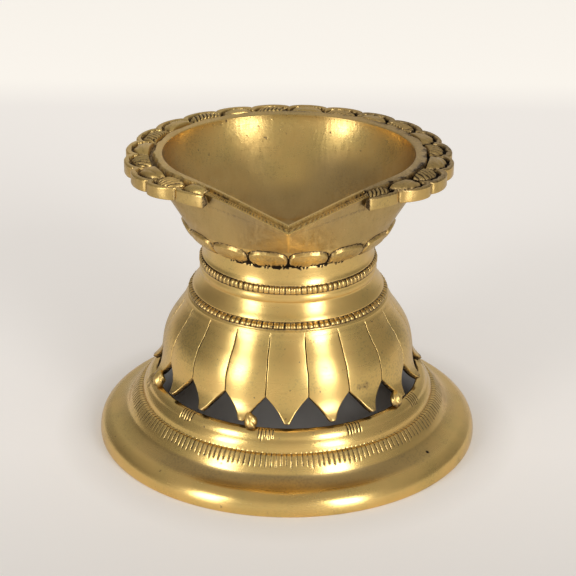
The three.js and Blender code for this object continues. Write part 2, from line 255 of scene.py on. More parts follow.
class Nodes:
    """The node tree of a material or a world, with short calls to add and join nodes."""

    def __init__(self, owner):
        owner.use_nodes = True
        self.tree = owner.node_tree

    def fill(self, node, inputs):
        """Sets the inputs of a node, or joins them to the sockets given for them."""
        for key, value in inputs.items():
            if isinstance(value, bpy.types.NodeSocket):
                self.tree.links.new(value, node.inputs[key])
            else:
                node.inputs[key].default_value = value

    def add(self, kind, output, inputs=None, **settings):
        node = self.tree.nodes.new(kind)
        for key, value in settings.items():
            setattr(node, key, value)
        self.fill(node, inputs or {})
        return node.outputs[output]

    def math(self, operation, first, second=0.0, clamp=False):
        return self.add("ShaderNodeMath", 0, {0: first, 1: second}, operation=operation, use_clamp=clamp)

    def plus(self, value, extra, weight, clamp=False):
        return self.math("ADD", value, self.math("MULTIPLY", extra, weight), clamp)

    def vector(self, operation, first, second=(0, 0, 0)):
        output = "Value" if operation in ("LENGTH", "DISTANCE") else "Vector"
        return self.add("ShaderNodeVectorMath", output, {0: first, 1: second}, operation=operation)

    def split(self, vector):
        return self.add("ShaderNodeSeparateXYZ", 0, {0: vector}).node.outputs

    def noise(self, vector, scale, detail=2.0, roughness=0.5, output="Fac"):
        inputs = {"Vector": vector, "Scale": scale, "Detail": detail, "Roughness": roughness}
        return self.add("ShaderNodeTexNoise", output, inputs)

    def spread(self, value, low, high, to_low=0.0, to_high=1.0):
        """The value's way from low to high, as the same way between two other values."""
        inputs = dict(enumerate((value, low, high, to_low, to_high)))
        return self.add("ShaderNodeMapRange", 0, inputs, clamp=True)

    def mix(self, share, first, second, blend="MIX"):
        inputs = {0: share, 6: first, 7: second}
        return self.add("ShaderNodeMix", 2, inputs, data_type="RGBA", blend_type=blend)

    def attribute(self, name):
        return self.add("ShaderNodeAttribute", "Fac", attribute_name=name)

    def place(self):
        return self.add("ShaderNodeTexCoord", "Object")

    def around_axis(self, place, around, across):
        """Coordinates that run round the axis slowly and across it fast, for marks left by turning."""
        flat = self.vector("MULTIPLY", place, (1, 1, 0))
        unit = self.vector("MULTIPLY", self.vector("NORMALIZE", flat), (around, around, 0))
        depth = self.math("ADD", self.split(place)[2], self.vector("LENGTH", flat))
        lift = self.add("ShaderNodeCombineXYZ", 0, {2: self.math("MULTIPLY", depth, across)})
        return self.vector("ADD", unit, lift)


WARM_BRASS = (0.86, 0.585, 0.205, 1)
GREEN_BRASS = (0.76, 0.545, 0.19, 1)
POLISH_DIRECTION = 0.25
BUMP_STRENGTH = 0.25
BUMP_DISTANCE = 0.00006

# What lies over the clean brass, real tarnish and painted shade: each layer's colour and the roughness that
# it adds.
STAIN = ((0.56, 0.37, 0.14, 1), 0.2)
DULL_AND_SHADE_LAYER = ((0.44, 0.31, 0.135, 1), 0.08)
BROWN_FILM_AND_SHADE = ((0.30, 0.205, 0.11, 1), 0.12)
BLACK_DEPOSIT_AND_SHADE = ((0.032, 0.022, 0.014, 1), 0.25)

# Waves per metre of the marks, round and across the axis or along x, y and z, and their relief.
TURNING_SCALES = (1.6, 2600.0)
MOTTLE_SCALE = 90.0
CLOUD_SCALE = 34.0
GRAIN_SCALE = 1500.0
PIT_SCALE = 640.0
NICK_SCALE = 560.0
STREAK_SCALES = (900, 110, 260)
SWIRL_SCALES = (120, 760, 160)
DRIFT_SCALE = 30.0
DRIFT_REACH = (0.012, 0.012, 0.012)
GRAIN_RELIEF = 0.5
STREAK_RELIEF = 3.4
SWIRL_RELIEF = 3.0
NICK_RELIEF = -4.0
BRUSHED_ROUGHNESS = 0.1


def ragged_patina(nodes, place, grain, mottle, dullness_and_shade, spots):
    """The surface's own tarnish and painted shade with uneven edges, small pits where it is not dulled, and
    the spots.
    """
    ragged = nodes.math("ADD", nodes.attribute("patina"), nodes.spread(grain, 0.3, 0.7, -0.16, 0.16))
    ragged = nodes.math("ADD", ragged, nodes.spread(mottle, 0.35, 0.65, -0.08, 0.08))
    pits = nodes.spread(nodes.noise(place, PIT_SCALE, 0.0), 0.81, 0.86, 0.0, 0.4)
    ragged = nodes.plus(ragged, pits, nodes.spread(dullness_and_shade, 0.1, 0.5, 1.0, 0.0))
    for angle, radius, height, size, strength in spots:
        centre = (radius * math.sin(angle), -radius * math.cos(angle), height)
        distance = nodes.vector("DISTANCE", place, centre)
        ragged = nodes.math("ADD", ragged, nodes.spread(distance, size / 2, size, strength, 0.0))
    return ragged


def scratched(nodes, place, relief, rough, strength):
    """Relief and roughness with brushed streaks, crossing swirls and small nicks added."""
    drift = nodes.noise(place, DRIFT_SCALE, output="Color")
    warped = nodes.vector("ADD", place, nodes.vector("MULTIPLY", drift, DRIFT_REACH))
    streaks = nodes.noise(nodes.vector("MULTIPLY", warped, STREAK_SCALES), 1.0, 3.0, 0.6)
    swirls = nodes.noise(nodes.vector("MULTIPLY", warped, SWIRL_SCALES), 1.0, 3.0, 0.6)
    nicks = nodes.spread(nodes.noise(place, NICK_SCALE, 1.0), 0.72, 0.8)
    for marks, weight in ((streaks, STREAK_RELIEF), (swirls, SWIRL_RELIEF), (nicks, NICK_RELIEF)):
        relief = nodes.plus(relief, marks, weight * strength)
    brushed = nodes.spread(streaks, 0.32, 0.68, -BRUSHED_ROUGHNESS, BRUSHED_ROUGHNESS)
    return relief, nodes.plus(rough, brushed, strength, clamp=True)


def brass(name, roughness, marks, tarnish, polish, scratches=0.0, spots=()):
    """Brass polished round the axis, with slow colour changes, tarnish, a brown tarnish layer and blackened
    grooves, whose brown and black layers also carry painted shade.

    Spots are single pits and stains: an angle, radius, height, size and strength each.
    """
    material = bpy.data.materials.new(name)
    nodes = Nodes(material)
    place = nodes.place()
    turning = nodes.noise(nodes.around_axis(place, *TURNING_SCALES), 1.0, 3.0)
    mottle = nodes.noise(place, MOTTLE_SCALE, 3.0)
    cloud = nodes.noise(place, CLOUD_SCALE, 4.0, 0.6)
    grain = nodes.noise(place, GRAIN_SCALE, 2.0)
    dullness_and_shade = nodes.attribute("dullness_and_shade")
    ragged = ragged_patina(nodes, place, grain, mottle, dullness_and_shade, spots)
    stain = nodes.spread(cloud, 0.52, 0.72, 0.0, tarnish)
    film_and_shade = nodes.spread(ragged, 0.08, 0.45, 0.0, 0.75)
    deposit_and_shade = nodes.spread(ragged, 0.36, 0.72)
    tone = nodes.mix(nodes.spread(mottle, 0.4, 0.65), WARM_BRASS, GREEN_BRASS)
    rough = nodes.spread(turning, 0.3, 0.7, roughness - marks, roughness + marks)
    layers = ((stain, STAIN), (dullness_and_shade, DULL_AND_SHADE_LAYER), (film_and_shade, BROWN_FILM_AND_SHADE), (deposit_and_shade, BLACK_DEPOSIT_AND_SHADE))
    for share, (colour, extra) in layers:
        tone = nodes.mix(share, tone, colour)
        rough = nodes.plus(rough, share, extra, clamp=True)
    relief = nodes.plus(turning, grain, GRAIN_RELIEF)
    if scratches:
        relief, rough = scratched(nodes, place, relief, rough, scratches)
    bump = {"Strength": BUMP_STRENGTH, "Distance": BUMP_DISTANCE, "Height": relief}
    nodes.fill(nodes.tree.nodes["Principled BSDF"], {
        "Base Color": tone,
        "Metallic": 1.0,
        "Roughness": rough,
        "Normal": nodes.add("ShaderNodeBump", "Normal", bump),
        "Anisotropic": polish,
        "Anisotropic Rotation": POLISH_DIRECTION,
        "Tangent": nodes.vector("CROSS_PRODUCT", place, (0, 0, 1)),
    })
    return material


RING_SPOTS = [(math.radians(53.5), 0.0541, 0.0078, 0.0009, 0.9)]
STAND_SPOTS = [
    (math.radians(37), 0.0392, 0.0300, 0.0016, 0.3), (math.radians(33.5), 0.0392, 0.0301, 0.0013, 0.3),
    (math.radians(15), 0.0392, 0.0296, 0.0006, 0.5), (math.radians(-0.5), 0.0423, 0.0240, 0.0006, 0.9),
]
RING_BRASS = brass("ring_brass_worn", 0.24, 0.03, 0.35, 0.6, spots=RING_SPOTS)
STAND_BRASS = brass("stand_brass_polished", 0.29, 0.025, 0.35, 0.65, spots=STAND_SPOTS)
BOWL_BRASS = brass("bowl_brass_satin", 0.33, 0.05, 0.45, 0.8, scratches=0.8)
BRAZE_BRASS = brass("braze_metal", 0.36, 0.06, 0.3, 0.0)
STUD_BRASS = brass("stud_brass_dull", 0.38, 0.08, 0.6, 0.5)


# Foot ring


TICK_COUNT = 190
TICK_DEPTH = 0.00019
TICK_BAND_SHARES = (0.565, 0.7)
STROKE_GROUPS = 10
GROUP_STROKES = 5
STROKE_START = math.radians(-8.5)
STROKE_PITCH = 0.00108
STROKE_HALF_WIDTH = 0.0003
STROKE_DEPTH = 0.0002
STROKE_BAND_SHARES = (0.872, 0.99)
# Where the painted shade on the front of the brim lies, in shares of the ring's height.
BRIM_SHADE_SHARES = (0.355, 0.45)
HOLE_SHADE_WIDTH = 0.0006
RING_FINE_STEP = 0.0003
RING_STEP = 0.0006
MARKED_SHARE = 0.5
TICK_DARKNESS = 0.75
STROKE_DARKNESS = 0.95
HOLE_SHADE_DARKNESS = 0.75
UNDERSIDE_DARKNESS = 0.7
# Painted shade on the front of the brim: its dulling, darkening, edge softness and front angles.
BRIM_SHADE_DULLNESS = 0.8
BRIM_SHADE_DARKNESS = 0.1
BRIM_SHADE_SOFTNESS = 0.03
BRIM_SHADE_FRONT = np.radians((75, 45))

TICK_SHIFTS = rng.uniform(-0.06, 0.06, TICK_COUNT)
TICK_WIDTHS = rng.uniform(0.16, 0.22, TICK_COUNT)
TICK_FORCES = rng.uniform(0.6, 1.15, TICK_COUNT)
TICK_STARTS = rng.uniform(0.0, 0.03, TICK_COUNT)
STROKE_COUNT = STROKE_GROUPS * GROUP_STROKES
STROKE_SHIFTS = rng.uniform(-0.12, 0.12, STROKE_COUNT)
STROKE_STARTS = rng.uniform(-0.012, 0.03, STROKE_COUNT)
STROKE_FORCES = rng.uniform(0.7, 1.2, STROKE_COUNT)

# Shares of the ring's width, from its hole outwards, and of its height.
RIM_SHARES = [
    (0.979, 0), (0.995, 0.017), (1, 0.04), (1, 0.079), (0.989, 0.148), (0.963, 0.212), (0.921, 0.261),
    (0.868, 0.3), (0.82, 0.325), (0.757, 0.34),
]
BRIM_SHARES = [
    (0.73, 0.348), (0.7, 0.356), (0.65, 0.375), (0.6, 0.4), (0.56, 0.425), (0.53, 0.45), (0.513, 0.475),
]
TICK_SHARES = [
    (0.487, 0.52), (0.455, 0.57), (0.418, 0.617), (0.375, 0.663), (0.333, 0.698), (0.298, 0.7),
    (0.277, 0.7),
]
ROLL_SHARES = [
    (0.267, 0.735), (0.252, 0.785), (0.222, 0.835), (0.19, 0.872), (0.182, 0.884), (0.16, 0.925),
    (0.118, 0.968), (0.08, 0.99), (0.062, 0.991), (0.048, 0.998), (0.03, 1), (0.012, 0.99),
    (0, 0.965),
]
UNDER_SHARES = [
    (0, 0.88), (0.05, 0.86), (0.12, 0.8), (0.19, 0.68), (0.3, 0.53), (0.48, 0.37), (0.7, 0.25),
    (0.84, 0.14), (0.862, 0.05), (0.862, 0),
]


def ring_rows(start, *stretches):
    """Rows along the ring's section, on from a start share over stretches of shares with their steps."""
    rows = []
    for shares, step in stretches:
        points = stretched([*start, *shares], (RING_HOLE, 0.0), (RING_EDGE, RING_TOP))
        rows.append(trace(points, step)[len(start):])
        start = shares[-1:]
    return np.vstack(rows)


def tick_marks(angles, high_share):
    """Depth and darkness of the punched ticks, each a little different."""
    index, offset = nearest_mark(angles, TICK_COUNT, TICK_SHIFTS)
    cut = groove(offset, TICK_WIDTHS[index])
    band = between(high_share, TICK_BAND_SHARES[0] + TICK_STARTS[index], TICK_BAND_SHARES[1], 0.02)
    return TICK_DEPTH * cut * band * TICK_FORCES[index], cut * band


def stroke_marks(angles, radius, high_share):
    """Depth and darkness of the groups of strokes near the hole."""
    group_angle = FULL_TURN / STROKE_GROUPS
    local = (angles - STROKE_START + group_angle / 2) % group_angle - group_angle / 2
    along = local * radius / STROKE_PITCH
    index = np.clip(np.round(along), -(GROUP_STROKES // 2), GROUP_STROKES // 2)
    group = np.floor((angles - STROKE_START) / group_angle + 0.5)
    number = ((group * GROUP_STROKES + index) % STROKE_COUNT).astype(int)
    cut = groove((along - index + STROKE_SHIFTS[number]) * STROKE_PITCH, STROKE_HALF_WIDTH)
    low = STROKE_BAND_SHARES[0] + STROKE_STARTS[number]
    band = between(high_share, low, STROKE_BAND_SHARES[1], 0.012)
    return STROKE_DEPTH * cut * band * STROKE_FORCES[number], cut * band


def ring_marks(angles, radius, high_share):
    """Depth and darkness of the ticks and strokes together."""
    tick_depth, tick_dark = tick_marks(angles, high_share)
    stroke_depth, stroke_dark = stroke_marks(angles, radius, high_share)
    return tick_depth + stroke_depth, TICK_DARKNESS * tick_dark + STROKE_DARKNESS * stroke_dark


def make_base_ring():
    outside = ring_rows(
        [], (RIM_SHARES, RING_STEP), (BRIM_SHARES, RING_STEP),
        (TICK_SHARES, RING_FINE_STEP), (ROLL_SHARES, RING_FINE_STEP),
    )
    under = ring_rows(ROLL_SHARES[-1:], (UNDER_SHARES, 4 * RING_STEP))
    plain = even_angles(TICK_COUNT * 2)
    fine = even_angles(TICK_COUNT * 8)
    loft = Loft()
    for (radius, height), normal in zip(outside, outward(outside)):
        high_share = height / RING_TOP
        marked = high_share > MARKED_SHARE
        angles = fine if marked else plain
        depth, dark = ring_marks(angles, radius, high_share) if marked else (0.0, 0.0)
        edge = np.minimum(radius - normal[0] * depth, RING_EDGE)
        # Painted shade along the edge of the hole, for the shadowed gap under the petals.
        hole_shade = HOLE_SHADE_DARKNESS * ease((RING_HOLE + HOLE_SHADE_WIDTH - radius) / HOLE_SHADE_WIDTH)
        # Painted shade on the front of the brim, darkened and dulled where it mirrors dark surroundings.
        brim_shade = between(high_share, *BRIM_SHADE_SHARES, BRIM_SHADE_SOFTNESS) * in_front(angles, *BRIM_SHADE_FRONT)
        dark = np.maximum(dark, hole_shade) + BRIM_SHADE_DARKNESS * brim_shade
        loft.ring(angles, edge, height - normal[1] * depth, dark, BRIM_SHADE_DULLNESS * brim_shade)
    for radius, height in under:
        loft.ring(plain, radius, height, UNDERSIDE_DARKNESS)
    loft.close()
    return loft.piece("foot_ring", RING_BRASS)


# Lotus dome and neck


PETAL_COUNT = 19
PETAL_PITCH = FULL_TURN / PETAL_COUNT
TIP_HEIGHT = 0.0225
NOTCH_HEIGHT = 0.0297
SHOULDER_HEIGHT = 0.0474
SHOULDER_RADIUS = 0.0316
PETAL_TIP_WIDTH = 0.0021
PETAL_EDGE_POWER = 0.85
PETAL_WALL = 0.0019
PETAL_CROWN = 0.00022
SEAM_DEPTH = 0.00045
SEAM_HALF_WIDTH = 0.00022
SEAM_LIP = 0.00001
SEAM_TOP_HEIGHT = 0.0466
SEAM_DRIFT = math.radians(0.12)
SEAM_FADE_HEIGHT = 0.0012
DRIFT_FADE_HEIGHT = 0.003
CROWN_FADE_HEIGHT = 0.004
TIP_STAIN_HEIGHT = 0.0016
EDGE_ROUNDING = 0.0003
LEVEL_RISE = 0.0016
LEVEL_HEIGHT = NOTCH_HEIGHT + LEVEL_RISE
FLANK_TOP_DROP = 0.0009
FLANK_TOP = SHOULDER_HEIGHT - FLANK_TOP_DROP
FLANK_STEP = 0.00045
FLANK_INSIDE_STEP = -0.0022
FLANK_INSIDE_DROP = 0.0004
NECK_RADIUS = 0.0263
BEAD_DEPTH = 0.00042
LOWER_BEADS = 110
UPPER_BEADS = 104
BEAD_STEP = 0.00022
NECK_STEP = 0.00035
NECK_FINE_STEP = 0.0002
SHOULDER_LINE_HEIGHT = mix(SHOULDER_HEIGHT, NECK_TOP, 0.03)
SHOULDER_LINE_WIDTH = 0.0003
# The painted shadow under the front of the bowl, on top of the neck's wall: its height, softness and front
# angles.
BOWL_SHADOW_HEIGHT = 0.0013
BOWL_SHADOW_SOFTNESS = 0.0002
BOWL_SHADOW_FRONT = np.radians((50, 12))
HIDDEN_DARKNESS = 0.4

# The flank from the petal tips to the shoulder, in shares of the way between their radii and heights.
FLANK_SHARES = [
    (0, 0), (0.13, 0.05), (0.225, 0.11), (0.285, 0.19), (0.308, 0.27), (0.33, 0.35), (0.37, 0.45),
    (0.45, 0.56), (0.575, 0.67), (0.75, 0.79), (0.88, 0.885), (0.94, 0.94), (0.97, 0.965),
]
FLANK_TRACE = trace(FLANK_SHARES, 0.02)
# The neck from the shoulder to its top, in shares of the way in to the neck's radius and up to its top.
NECK_LOWER_SHARES = [(-0.005, -0.03), (0.01, 0), (0.06, 0.015), (0.1, 0.03)]
LOWER_BEAD_SHARES = [
    (0.06, 0.045), (0.07, 0.07), (0.14, 0.095), (0.25, 0.11), (0.3, 0.118), (0.31, 0.13),
]
NECK_MIDDLE_SHARES = [
    (0.29, 0.145), (0.37, 0.185), (0.5, 0.235), (0.63, 0.295), (0.74, 0.355), (0.8, 0.395),
    (0.795, 0.405), (0.755, 0.43), (0.745, 0.465), (0.765, 0.5), (0.8, 0.52), (0.79, 0.53),
]
UPPER_BEAD_SHARES = [
    (0.765, 0.545), (0.745, 0.575), (0.74, 0.605), (0.76, 0.635), (0.83, 0.66), (0.9, 0.672),
]
NECK_WALL_SHARES = [
    (0.88, 0.69), (0.92, 0.71), (0.965, 0.74), (0.99, 0.78), (1, 0.84), (1, 0.9), (1, 0.96),
    (1.02, 0.985), (1.07, 1),
]
NECK_INSIDE_SHARES = [
    (4.15, 1), (4.15, 0.54), (3.27, 0.54), (3.27, 0.79), (1.42, 0.79), (1.38, 0.7), (1.33, 0.42),
]
# The petals' cut edge from the inside out: inset, drop and darkness of each ring; the darkness is painted
# shade on the edge's faces.
PETAL_LIP_ROWS = [
    (PETAL_WALL * 0.8, PETAL_WALL * 0.45, 0.75), (0.0012, PETAL_WALL * 0.3, 0.7), (0.0004, 0.0001, 0.45),
]


def petal_share(angles):
    """0 on a petal's middle line and 1 on the seam between two petals."""
    turns = angles / PETAL_PITCH
    return 2 * np.abs(turns - np.round(turns))


def petal_edge(angles):
    tip_share = PETAL_TIP_WIDTH / (TIP_RADIUS * PETAL_PITCH)
    beyond = np.maximum(0, petal_share(angles) - tip_share) / (1 - tip_share)
    return mix(TIP_HEIGHT, NOTCH_HEIGHT, beyond**PETAL_EDGE_POWER)


def flank_radius(height):
    share = (height - TIP_HEIGHT) / (SHOULDER_HEIGHT - TIP_HEIGHT)
    in_shares, up_shares = FLANK_TRACE[:, 0], FLANK_TRACE[:, 1]
    return mix(TIP_RADIUS, SHOULDER_RADIUS, np.interp(share, up_shares, in_shares))


def petal_surface(angles, height):
    """Radius and darkness of the petals' outside at an angle and a height."""
    share = petal_share(angles)
    radius = flank_radius(height)
    from_seam = (1 - share) * PETAL_PITCH / 2 * radius
    fade = ease((SEAM_TOP_HEIGHT - height) / SEAM_FADE_HEIGHT)
    cut = groove(from_seam, SEAM_HALF_WIDTH) * fade
    lip = groove(from_seam - 2.2 * SEAM_HALF_WIDTH, 1.6 * SEAM_HALF_WIDTH) * fade
    crown = PETAL_CROWN * share * share * ease((SHOULDER_HEIGHT - height) / CROWN_FADE_HEIGHT)
    tip_stain = ease((TIP_HEIGHT + TIP_STAIN_HEIGHT - height) / TIP_STAIN_HEIGHT)
    # The seams are dark, and the slight darkening towards the sides is painted shade.
    dark = np.clip(1.5 * cut + 0.09 * at_sides(angles, 0.45) + 0.25 * tip_stain, 0, 1)
    return radius - crown - SEAM_DEPTH * cut + SEAM_LIP * lip, dark


def seam_drift(angles, height):
    """Small turn of the surface near the seams, so that they run a little unevenly."""
    number = np.round(angles / PETAL_PITCH - 0.5)
    near = ease((petal_share(angles) - 0.7) / 0.2)
    wave = np.sin(height * 420 + number * 2.4) + 0.5 * np.sin(height * 1100 + number * 5.1)
    return SEAM_DRIFT * near * wave * ease((SEAM_TOP_HEIGHT - height) / DRIFT_FADE_HEIGHT)


def petal_columns():
    near_seam = np.array([0.0, 0.01, 0.02, 0.03, 0.042, 0.06, 0.09])
    half = np.concatenate([np.linspace(0, 0.8, 9), 1 - near_seam[::-1]])
    shares = np.concatenate([half[:-1], 2 - half[:0:-1]])
    return np.concatenate([(petal + shares / 2) * PETAL_PITCH for petal in range(PETAL_COUNT)])


def neck_points(shares):
    return stretched(shares, (SHOULDER_RADIUS, SHOULDER_HEIGHT), (NECK_RADIUS, NECK_TOP))


def bead_relief(angles, count, shifts, forces, across):
    """Height of a row of beads over the floor between them; across is -1 to 1 over the band."""
    index, offset = nearest_mark(angles, count, shifts)
    shape = dome(2.24 * offset, 2.2) * dome(across, 2.6)
    # The slight darkening towards the sides is painted shade; the rest darkens the hollows between the
    # beads.
    dark = 0.1 + 0.12 * at_sides(angles, 0.5) + 0.62 * ease(1.3 - 2.0 * shape)
    return BEAD_DEPTH * shape * forces[index], dark


def add_bead_band(loft, rows, count):
    shifts = rng.uniform(-0.06, 0.06, count)
    forces = rng.uniform(0.75, 1.1, count)
    angles = even_angles(count * 10)
    for index, ((radius, height), normal) in enumerate(zip(rows, outward(rows))):
        across = 2 * index / (len(rows) - 1) - 1
        rise, dark = bead_relief(angles, count, shifts, forces, across)
        push = rise - BEAD_DEPTH * 0.6
        loft.ring(angles, radius + normal[0] * push, height + normal[1] * push, dark)


def bowl_shadow(angles, height):
    """Painted shadow under the front of the bowl: a ragged dark band on top of the neck's wall."""
    teeth = waver(angles, 83, 3, 29, 1)
    start = NECK_TOP - BOWL_SHADOW_HEIGHT * (0.35 + 0.65 * teeth)
    return in_front(angles, *BOWL_SHADOW_FRONT) * ease((height - start) / BOWL_SHADOW_SOFTNESS)


def add_petals(loft, columns, edge):
    """The petals' outside, from their cut lower edge up to the shoulder."""
    for share in np.concatenate([np.linspace(0, 0.04, 3), np.linspace(0.1, 0.9, 9)]):
        height = mix(edge, LEVEL_HEIGHT, share)
        radius, dark = petal_surface(columns, height)
        rounding = EDGE_ROUNDING * (1 - ease(share / 0.04))
        loft.ring(columns, radius - rounding, height, dark, 0.0, seam_drift(columns, height))
    for height in np.arange(LEVEL_HEIGHT, FLANK_TOP, FLANK_STEP):
        radius, dark = petal_surface(columns, height)
        loft.ring(columns, radius, height, dark, 0.0, seam_drift(columns, height))


def add_neck(loft, columns):
    """The turned neck with its two rows of beads."""
    for radius, height in trace(neck_points(NECK_LOWER_SHARES), NECK_FINE_STEP)[1:]:
        loft.ring(columns, radius, height, 0.3 * groove(height - SHOULDER_LINE_HEIGHT, SHOULDER_LINE_WIDTH))
    add_bead_band(loft, trace(neck_points(LOWER_BEAD_SHARES), BEAD_STEP), LOWER_BEADS)
    for radius, height in trace(neck_points(NECK_MIDDLE_SHARES), NECK_STEP):
        loft.ring(columns, radius, height)
    add_bead_band(loft, trace(neck_points(UPPER_BEAD_SHARES), BEAD_STEP), UPPER_BEADS)
    # The top of the neck's wall carries the painted shadow under the bowl.
    for radius, height in trace(neck_points(NECK_WALL_SHARES), NECK_FINE_STEP):
        loft.ring(columns, radius, height, bowl_shadow(columns, height))


def make_lotus_dome():
    columns = petal_columns()
    edge = petal_edge(columns)
    plain = even_angles(PETAL_COUNT * 8)
    loft = Loft()
    add_petals(loft, columns, edge)
    add_neck(loft, columns)
    for radius, height in neck_points(NECK_INSIDE_SHARES):
        loft.ring(plain, radius, height, HIDDEN_DARKNESS)
    for height in np.arange(SHOULDER_HEIGHT, NOTCH_HEIGHT, FLANK_INSIDE_STEP):
        loft.ring(plain, flank_radius(height) - PETAL_WALL, height - FLANK_INSIDE_DROP, HIDDEN_DARKNESS)
    for inset, drop, dark in PETAL_LIP_ROWS:
        loft.ring(columns, flank_radius(edge) - inset, edge - drop, dark)
    loft.close()
    return loft.piece("lotus_stand", STAND_BRASS)


# Bowl


# Angles from the spout's middle to the end of its plain edge, and to where its sides meet the oval.
SPOUT_END = math.radians(38)
SPOUT_JOIN = math.radians(65)
SPOUT_SAG = 0.0026
SCALLOP_COUNT = 20
SCALLOP_PITCH = (FULL_TURN - 2 * SPOUT_END) / SCALLOP_COUNT
SCALLOP_DEPTH = 0.0022
SCALLOP_STEP = 0.002
CREST_RISE = math.radians(30)
CREST_BACK_REACH = 0.0522
END_ACROSS = 0.6
LEFT_END = math.radians(41)
LEFT_BLEND = SPOUT_END + 2 * SCALLOP_PITCH
END_TURN = math.radians(2.1)
END_TURN_REACH = math.radians(9)
BOWL_SETBACK = 0.0048
BOWL_RADIUS = 0.0455
BOWL_BACK_REACH = 0.0468
LIP_RADIUS = 0.039
LIP_BACK_REACH = 0.0388
LIP_SPOUT_REACH = 0.0548
LIP_SPOUT_SAG = 0.0005
BOWL_FOOT_RADIUS = 0.0328
BODY_BOTTOM = 0.074
FLANGE_THICKNESS = 0.0045
BORDER_HEIGHT = 0.0910
LIP_HEIGHT = 0.092
BOWL_FLOOR = 0.0712
FLANGE_DROP = 0.001
FLANGE_BOTTOM = RIM_TOP - FLANGE_DROP - FLANGE_THICKNESS
SEAT_INSET = 0.0003
SEAT_RADIUS = NECK_RADIUS - SEAT_INSET
SOCKET_GAP = 0.0003
SOCKET_TOP = STUD_TOP + SOCKET_GAP

# Where the bands on top of the flange end, in shares of the way from the lip to the scallops' crests.
LIP_BAND_SHARE = 0.29
LIP_BAND_LEFT_TRIM = 0.075
LIP_GROOVE_SHARE = 0.335
BOSS_SHARE = 0.79
CRESCENT_SHARE = 0.862
BOSS_HALF_WIDTH = 0.9
BOSS_POWER = 2.6
GROOVE_DEPTH = 0.0011
BOSS_RISE = 0.0011
RIB_PITCH = 0.0013
RIB_SLANT = 0.42
RIB_DEPTH = 0.00045
STEP_LINE_ANGLE = 0.008
TICK_ROW_SHARES = (0.46, 0.9)
SPOUT_TICKS = (32, 22)
SPOUT_TICK_DEPTH = 0.00025
SPOUT_DENT_DEPTH = 0.0003
RIM_ROUNDING = 0.0004
LIP_ROUNDING = 0.0002
SCALLOP_LEANS = rng.uniform(-0.07, 0.07, SCALLOP_COUNT)
SCALLOP_RISES = rng.uniform(0.75, 1.15, SCALLOP_COUNT)
SCALLOP_SPREADS = rng.uniform(-0.05, 0.06, SCALLOP_COUNT)

# The petals round the foot, the gaps between them, the line along their tops and the dark seam under them,
# which is darkest at the front as painted shade.
FOOT_PETAL_COUNT = 16
FOOT_PETAL_SIDE_HEIGHT = 0.0712
FOOT_PETAL_TOP_HEIGHT = 0.0738
FOOT_PETAL_RISE = 0.0007
FOOT_PETAL_SLOPE = 0.0006
FOOT_PETAL_RAGGEDNESS = 0.00012
FOOT_EDGE_DROP = 0.0005
FOOT_EDGE_RISE = 0.0001
LINE_LIFT = 0.0002
LINE_HALF_WIDTH = 0.0004
LINE_DEPTH = 0.0003
GAP_DEPTH = 0.0009
GAP_SLOPE = 0.0008
GAP_FLARE = 0.001
GAP_LOW_RISE = 0.0024
FOOT_SEAM_RISE = 0.0012
FOOT_SEAM_TEETH = 0.0013
FOOT_SEAM_SOFTNESS = 0.0003
FOOT_SEAM_DEPTH = 0.0003
FOOT_SEAM_SHADE_FRONT = np.radians((48, 14))
FOOT_STAIN_RISE = 0.0034
FOOT_STAIN_SOFTNESS = 0.001
FOOT_PLAIN = 0.0009
FOOT_STEP = 0.0003
FOOT_DULLNESS = 0.3
# The bowl's foot from its seat up to the body, in shares of the way out and up.
FOOT_SHARES = [
    (0, 0), (0.1, 0.015), (0.22, 0.07), (0.36, 0.15), (0.5, 0.24), (0.63, 0.35), (0.75, 0.47),
    (0.85, 0.62), (0.92, 0.78), (0.97, 0.9), (1, 1),
]

# The keel under the spout, and how much each part of the bowl is dulled and darkened, from 0 to 1.
KEEL_HALF_WIDTH = math.radians(0.9)
KEEL_ROUNDING = 0.00025
OUTSIDE_DULLNESS = 0.6
FRONT_LEFT_DULLNESS = 0.35
FRONT_LEFT_ANGLE = math.radians(14)
FRONT_LEFT_SPREAD = math.radians(22)
# Inside, the darker sides, front and floor are painted shade, and the cleaner back, where the lamps are
# mirrored, is a painted highlight; all of them also dull the surface.
INSIDE_SIDE_DULL_SHADE = 0.92
INSIDE_BACK_DULL_SHADE = 0.05
LOWER_LEFT_DULL_SHADE = 0.5
LOWER_RIGHT_DULL_SHADE = 0.9
INSIDE_FLOOR_DULL_SHADE = 0.8
RIM_DULLNESS = 0.3
RIGHT_RIM_DULLNESS = 0.28

# Rows in shares of the way up the wall, up the flange's edge, over its top and down the inside.
WALL_SHARES = [0.03, 0.06, *np.linspace(0.12, 0.97, 12), 0.985, 1.0]
FLANGE_INSETS = [(0.0, 0.0006), (0.04, 0.0001), (0.1, 0.0), (0.5, 0.0), (0.88, 0.0)]
FLANGE_SPOUT_LIFT = 0.00002
RIM_TOP_SHARES = [*np.linspace(1.0, 0.96, 4), *np.linspace(0.94, 0.26, 52), *np.linspace(0.24, 0, 10)]
INSIDE_SHARES = [0.012, 0.02, *np.linspace(0.035, 0.98, 40)]


def oval(angles, half_width, back_reach):
    """Distance from the axis to an oval that is set back from it, away from the spout."""
    half_length = back_reach - BOWL_SETBACK
    shift = BOWL_SETBACK / half_length
    across = np.sin(angles) / half_width
    along = np.cos(angles) / half_length
    spread = across**2 + along**2
    root = np.sqrt((along * shift)**2 + spread * (1 - shift**2))
    return (root - along * shift) / spread


